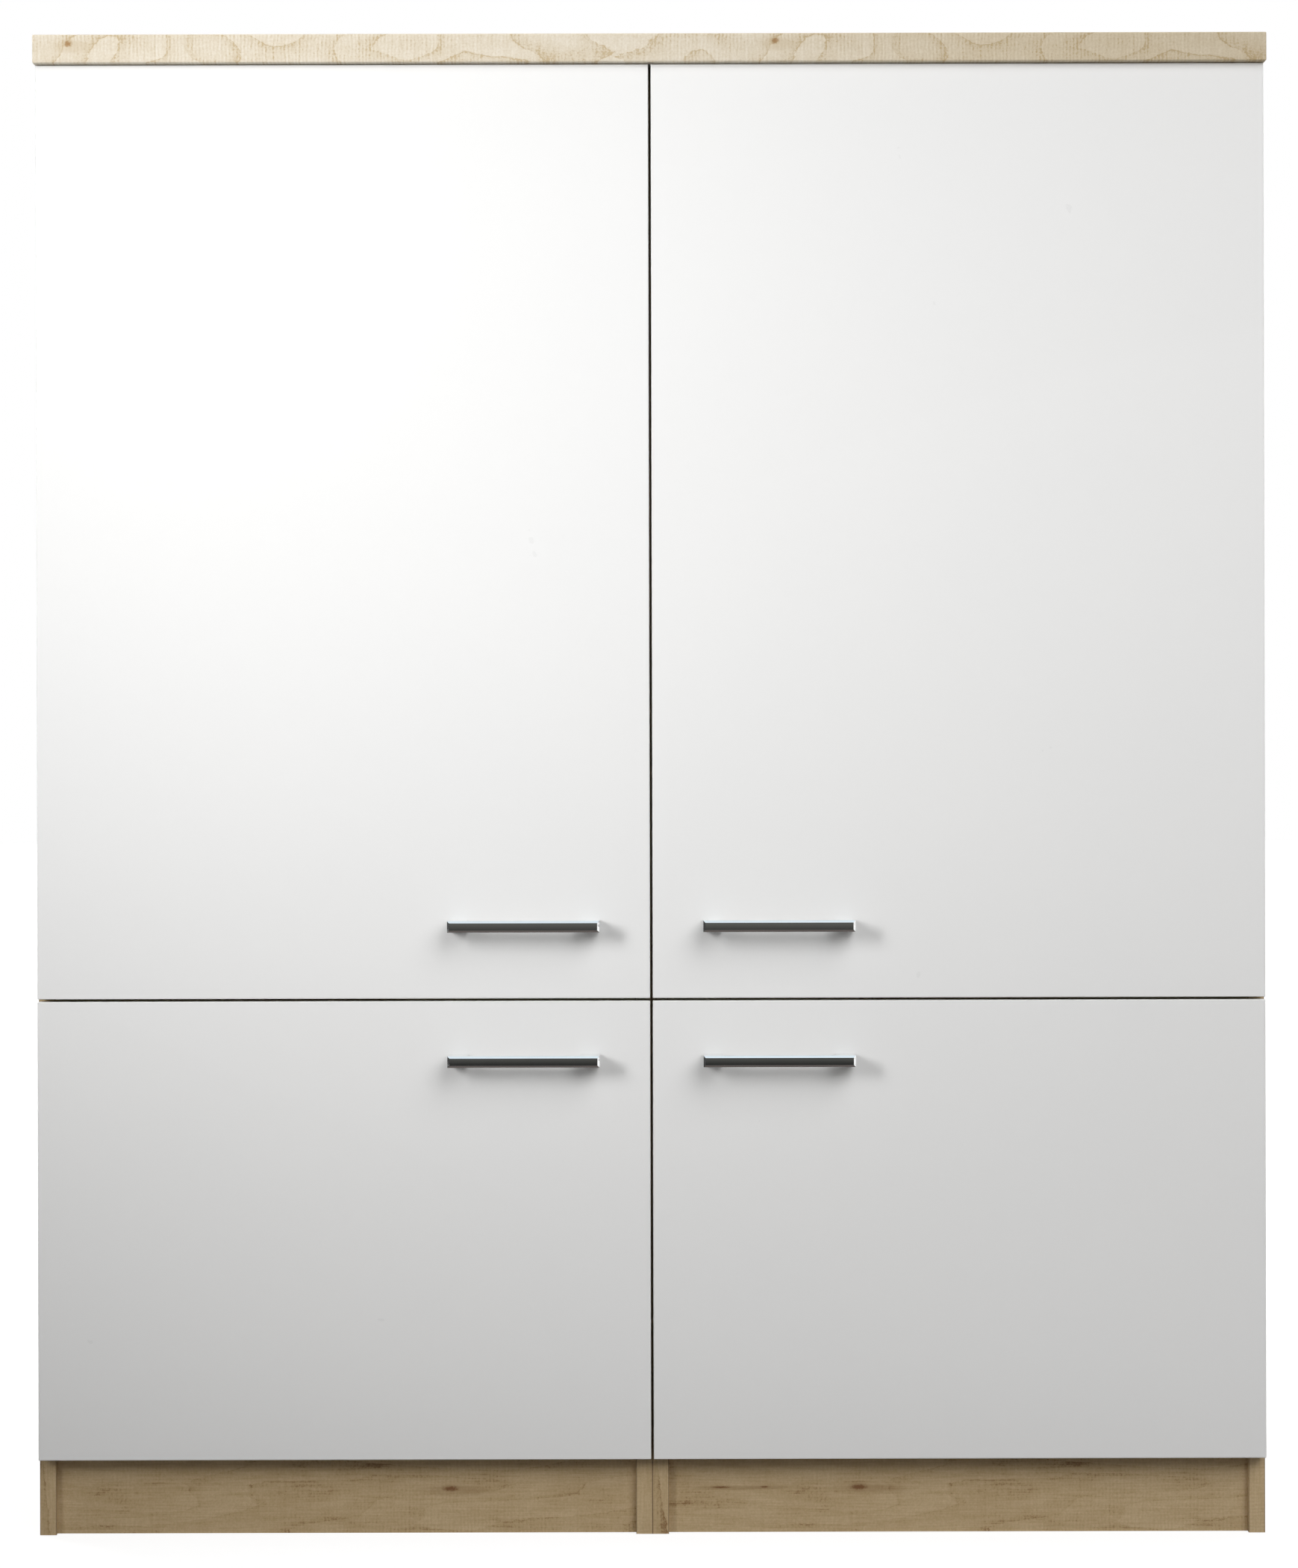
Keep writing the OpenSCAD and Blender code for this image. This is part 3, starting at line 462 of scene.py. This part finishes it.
def metalMaterial(name, look, bar=None):
    material, tree, shader = newMaterial(name)
    place = ownPlace(tree)
    stretched = put(tree, "ShaderNodeVectorMath", {0: place, 1: look["lines"]}, operation="MULTIPLY")
    lines = noise(tree, stretched.outputs[0], 1.0, 2.0)
    cloud = noise(tree, place, 60.0, 3.0, 0.55)
    colour = blendColour(tree, cloud, (*look["colour"], 1), (*look["worn"], 1))
    rough = calc(tree, "MULTIPLY_ADD", calc(tree, "MULTIPLY", cloud, lines), 0.10, look["rough"])
    height, depth = lines, look["lineDepth"]
    if bar:
        # the bar's front face is crowned, and its lower bevel leans
        low, high = bar
        half = (high.z - low.z) / 2 - look["edge"]
        rise = calc(tree, "SUBTRACT", parts(tree, place)[2], (low.z + high.z) / 2)
        below = calc(tree, "MINIMUM", calc(tree, "ADD", rise, half), 0.0)
        rise = calc(tree, "MINIMUM", calc(tree, "ABSOLUTE", rise), half)
        curve = calc(tree, "MULTIPLY", calc(tree, "MULTIPLY", rise, rise), -look["crown"])
        curve = calc(tree, "MULTIPLY_ADD", below, -look["lean"], curve)
        height, depth = calc(tree, "MULTIPLY_ADD", lines, look["lineDepth"], curve), 1.0
    feed(tree, shader, colour=colour, rough=rough, metal=look["metal"], normal=bump(tree, height, depth))
    return material


nickelPlate = metalMaterial("nickelPlate", nickel)
screwPlate = metalMaterial("screwPlate", screwSteel)
linkPlate = metalMaterial("linkPlate", linkSteel)
zinc = metalMaterial("zincCasting", zincCasting)


# Turned beech dowels: pale wood with short brown flecks
beechWood = {
    "pale": (0.70, 0.50, 0.30),
    "fleck": (0.50, 0.32, 0.17),
    "flecks": (160, 1500, 1500),     # a metre, along and across
    "rough": 0.6,
    "depth": 0.00005,
}


def beechMaterial():
    material, tree, shader = newMaterial("beech")
    spot = parts(tree, ownPlace(tree))
    scaled = [calc(tree, "MULTIPLY", axis, scale) for axis, scale in zip(spot, beechWood["flecks"])]
    fleck = noise(tree, vector(tree, *scaled), 1.0, 2.0)
    colour = colourSteps(tree, fleck, [(0.35, beechWood["pale"]), (0.62, beechWood["fleck"])])
    relief = bump(tree, fleck, beechWood["depth"], 0.5)
    feed(tree, shader, colour=colour, rough=beechWood["rough"], normal=relief)
    return material


# Soft clear pads behind the doors' free corners
pad = {
    "clear": (0.88, 0.90, 0.91),
    "cloudy": (0.80, 0.82, 0.83),
    "grains": 500,     # a metre
    "rough": 0.15,
    "passes": 0.7,     # the share of the light that goes through
    "bends": 1.42,
}


def padMaterial():
    material, tree, shader = newMaterial("softPad")
    cloud = noise(tree, ownPlace(tree), pad["grains"], 2.0)
    colour = blendColour(tree, cloud, (*pad["clear"], 1), (*pad["cloudy"], 1))
    feed(tree, shader, colour=colour, rough=calc(tree, "MULTIPLY_ADD", cloud, 0.2, pad["rough"]))
    shader.inputs["Transmission Weight"].default_value = pad["passes"]
    shader.inputs["IOR"].default_value = pad["bends"]
    return material


# Back boards: white inside, bare brown hardboard behind
hardboard = {
    "white": (0.86, 0.86, 0.84),
    "dullWhite": (0.82, 0.82, 0.80),
    "brown": (0.40, 0.26, 0.15),
    "darkBrown": (0.24, 0.145, 0.08),
    "rough": 0.42,
    "rougherBehind": 0.3,
    "depth": 0.00004,
}


def backMaterial():
    material, tree, shader = newMaterial("backBoard")
    place = ownPlace(tree)
    fluff = noise(tree, place, 900.0, 3.0, 0.6)
    cloud = noise(tree, place, 9.0, 3.0, 0.5)
    tone = calc(tree, "MULTIPLY_ADD", fluff, 0.6, calc(tree, "MULTIPLY", cloud, 0.4))
    brown = colourSteps(tree, tone, [(0.3, hardboard["darkBrown"]), (0.7, hardboard["brown"])])
    white = blendColour(tree, cloud, (*hardboard["white"], 1), (*hardboard["dullWhite"], 1))
    behind = calc(tree, "GREATER_THAN", ownFacing(tree)[1], 0.5)
    colour = blendColour(tree, behind, white, brown)
    rough = calc(tree, "MULTIPLY_ADD", behind, hardboard["rougherBehind"], hardboard["rough"])
    feed(tree, shader, colour=colour, rough=rough, normal=bump(tree, fluff, hardboard["depth"], 0.5))
    return material


backBoard = backMaterial()
beech = beechMaterial()
softPad = padMaterial()
for side in ("left", "right"):
    dress(f"{side}_back", backBoard)
    for row in ("upper", "lower"):
        door = f"{row}_{side}"
        handlePolish = metalMaterial(f"handlePolish_{door}", handleMetal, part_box(f"{door}_handle"))
        dress(f"{door}_door", doorMaterial(f"doorCoat_{door}", *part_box(f"{door}_door")))
        dress(f"{door}_handle", handlePolish)
        dress(f"{door}_screws", screwPlate)
        dress(f"{door}_hinge_cups", nickelPlate)
        dress(f"{door}_carrying_links", linkPlate)
        dress(f"{door}_guide_links", linkPlate)
for name in ("shelf_pins", "hinge_plates", "hinge_arms", "joining_screws", "worktop_brackets"):
    dress(name, nickelPlate)
for name in ("hinge_screws", "cam_bolts", "worktop_screws"):
    dress(name, screwPlate)
dress("cam_nuts", zinc)
dress("dowels", beech)
dress("door_bumpers", softPad)
print("doors and fittings dressed")


# The boards' fine edges catch the light. The CAD shapes keep their size.
edgeBreak = {
    "width": 0.0006,
    "segments": 2,
    "sharp": 35,         # degrees, from which an edge is broken
    "weld": 0.00001,
}


def breakEdges(name):
    node = nodes[name]
    weld = node.modifiers.new("weld", "WELD")
    weld.merge_threshold = edgeBreak["weld"]
    bevel = node.modifiers.new("fineEdges", "BEVEL")
    bevel.width = edgeBreak["width"]
    bevel.segments = edgeBreak["segments"]
    bevel.limit_method = "ANGLE"
    bevel.angle_limit = math.radians(edgeBreak["sharp"])


for name in nodes:
    if name.endswith(("_side", "_bottom", "_shelf", "_rail", "_plinth")):
        breakEdges(name)
print("edges broken")


# Floor and backdrop: plain and white, and the floor keeps the object's shadow
stage = {
    "size": 80.0,
    "drop": 0.0004,            # the floor lies that far under the plinths
    "grey": 0.25,              # what the floor gives back of the lamps' light
    "rough": 0.9,
    "glowNear": 0.86,          # the floor's own white close to the cabinet, where its shadow shows
    "glowFar": 1.0,
    "near": 1.4,               # metres from the cabinet's middle
    "far": 4.5,
    "fill": 0.10,              # light from all round
    "fillColour": (1.0, 0.96, 0.90),
}
pureWhite = (1, 1, 1, 1)


def seenDirectly(tree):
    # camera rays, and rays that reflect in metal or pass through a clear pad
    rays = put(tree, "ShaderNodeLightPath").outputs
    seen = calc(tree, "MAXIMUM", rays["Is Camera Ray"], rays["Is Glossy Ray"])
    return calc(tree, "MAXIMUM", seen, rays["Is Transmission Ray"])


bpy.ops.mesh.primitive_plane_add(size=stage["size"], location=(0, 0, -stage["drop"]))
floor = bpy.context.object
floor.name = "floor"
material, tree, shader = newMaterial("floorWhite")
feed(tree, shader, colour=(stage["grey"], stage["grey"], stage["grey"], 1), rough=stage["rough"])
shader.inputs["Emission Color"].default_value = pureWhite
away = put(tree, "ShaderNodeVectorMath", {0: ownPlace(tree)}, operation="LENGTH").outputs["Value"]
glow = fade(tree, away, stage["near"], stage["far"], stage["glowNear"], stage["glowFar"])
tree.links.new(calc(tree, "MULTIPLY", seenDirectly(tree), glow), shader.inputs["Emission Strength"])
floor.data.materials.append(material)

world = bpy.data.worlds.new("studio")
bpy.context.scene.world = world
world.use_nodes = True
tree = world.node_tree
background = tree.nodes["Background"]
seen = seenDirectly(tree)
backdrop = blendColour(tree, seen, (*stage["fillColour"], 1), pureWhite)
strength = calc(tree, "MULTIPLY_ADD", seen, 1 - stage["fill"], stage["fill"])
tree.links.new(backdrop, background.inputs["Color"])
tree.links.new(strength, background.inputs["Strength"])


# Cards that only reflections see: dark ones in front and at the left, a cool one above, a dim one on the
# floor. The glow changes by rise for each metre up a card, and by slant for each metre along it.
reflectionCards = [
    {"name": "frontCard", "spot": (0, -1.55, 1.0), "turn": (90, 0), "size": (4.4, 2.0),
     "colour": (1.0, 1.0, 0.92), "glow": 0.15, "rise": 0.34, "slant": 0.01},
    {"name": "skyCard", "spot": (0, -0.6, 3.2), "turn": (0, 0), "size": (5.0, 4.0),
     "colour": (0.80, 0.91, 0.98), "glow": 1.0, "rise": 0.0, "slant": 0.0},
    {"name": "floorCard", "spot": (0, -0.63, 0.002), "turn": (0, 0), "size": (3.0, 0.75),
     "colour": (1.0, 0.86, 0.80), "glow": 0.12, "rise": 0.0, "slant": 0.0},
    {"name": "leftCard", "spot": (-1.8, -0.35, 0.6), "turn": (90, 90), "size": (0.9, 1.4),
     "colour": (1.0, 1.0, 1.0), "glow": 0.05, "rise": 0.0, "slant": 0.0},
]
leastGlow = 0.02

for look in reflectionCards:
    tip, swing = (math.radians(angle) for angle in look["turn"])
    bpy.ops.mesh.primitive_plane_add(size=1, location=look["spot"], rotation=(tip, 0, swing))
    card = bpy.context.object
    card.name = look["name"]
    card.scale = (*look["size"], 1)
    material, tree, shader = newMaterial(look["name"])
    spot = parts(tree, ownPlace(tree))
    glow = calc(tree, "MULTIPLY_ADD", spot[1], look["rise"], look["glow"])
    glow = calc(tree, "MULTIPLY_ADD", spot[0], look["slant"], glow)
    glow = calc(tree, "MAXIMUM", glow, leastGlow)
    feed(tree, shader, colour=(0, 0, 0, 1), rough=1.0)
    shader.inputs["Emission Color"].default_value = (*look["colour"], 1)
    tree.links.new(glow, shader.inputs["Emission Strength"])
    card.data.materials.append(material)
    card.visible_camera = False
    card.visible_diffuse = False
    card.visible_transmission = False
    card.visible_shadow = False


# Soft boxes: the key from the upper left, a fill from the right, two behind, and one overhead
softBoxes = [
    {"name": "key", "spot": (-1.69, -2.10, 1.62), "aim": (-0.35, -0.28, 1.20), "size": (0.8, 1.6),
     "spread": 53, "power": 5.6},
    {"name": "fill", "spot": (1.35, -2.55, 2.20), "aim": (0.60, -0.28, 0.34), "size": (2.6, 3.0),
     "spread": 112, "power": 24.6},
    {"name": "rearLeft", "spot": (-2.3, 1.5, 1.9), "aim": (0, 0.2, 0.7), "size": (1.4, 1.4),
     "spread": 180, "power": 40.0},
    {"name": "rearRight", "spot": (2.3, 1.5, 1.9), "aim": (0, 0.2, 0.7), "size": (1.4, 1.4),
     "spread": 180, "power": 40.0},
    {"name": "overhead", "spot": (0, 0.6, 3.3), "aim": (0, 0.3, 1.4), "size": (1.6, 1.6),
     "spread": 180, "power": 16.0},
]

for box in softBoxes:
    light = bpy.data.lights.new(box["name"], "AREA")
    light.shape = "ELLIPSE"
    light.size, light.size_y = box["size"]
    light.spread = math.radians(box["spread"])
    light.energy = box["power"]
    lamp = bpy.data.objects.new(box["name"], light)
    lamp.location = box["spot"]
    lamp.visible_glossy = False      # the cards and the white surroundings are what shows in glossy surfaces
    reachX, reachY, reachZ = (a - b for a, b in zip(box["aim"], box["spot"]))
    tip = math.atan2(math.hypot(reachX, reachY), -reachZ)
    lamp.rotation_euler = (tip, 0, math.atan2(-reachX, reachY))
    bpy.context.scene.collection.objects.link(lamp)
print("stage and light set")

bpy.context.scene.view_settings.view_transform = "Standard"
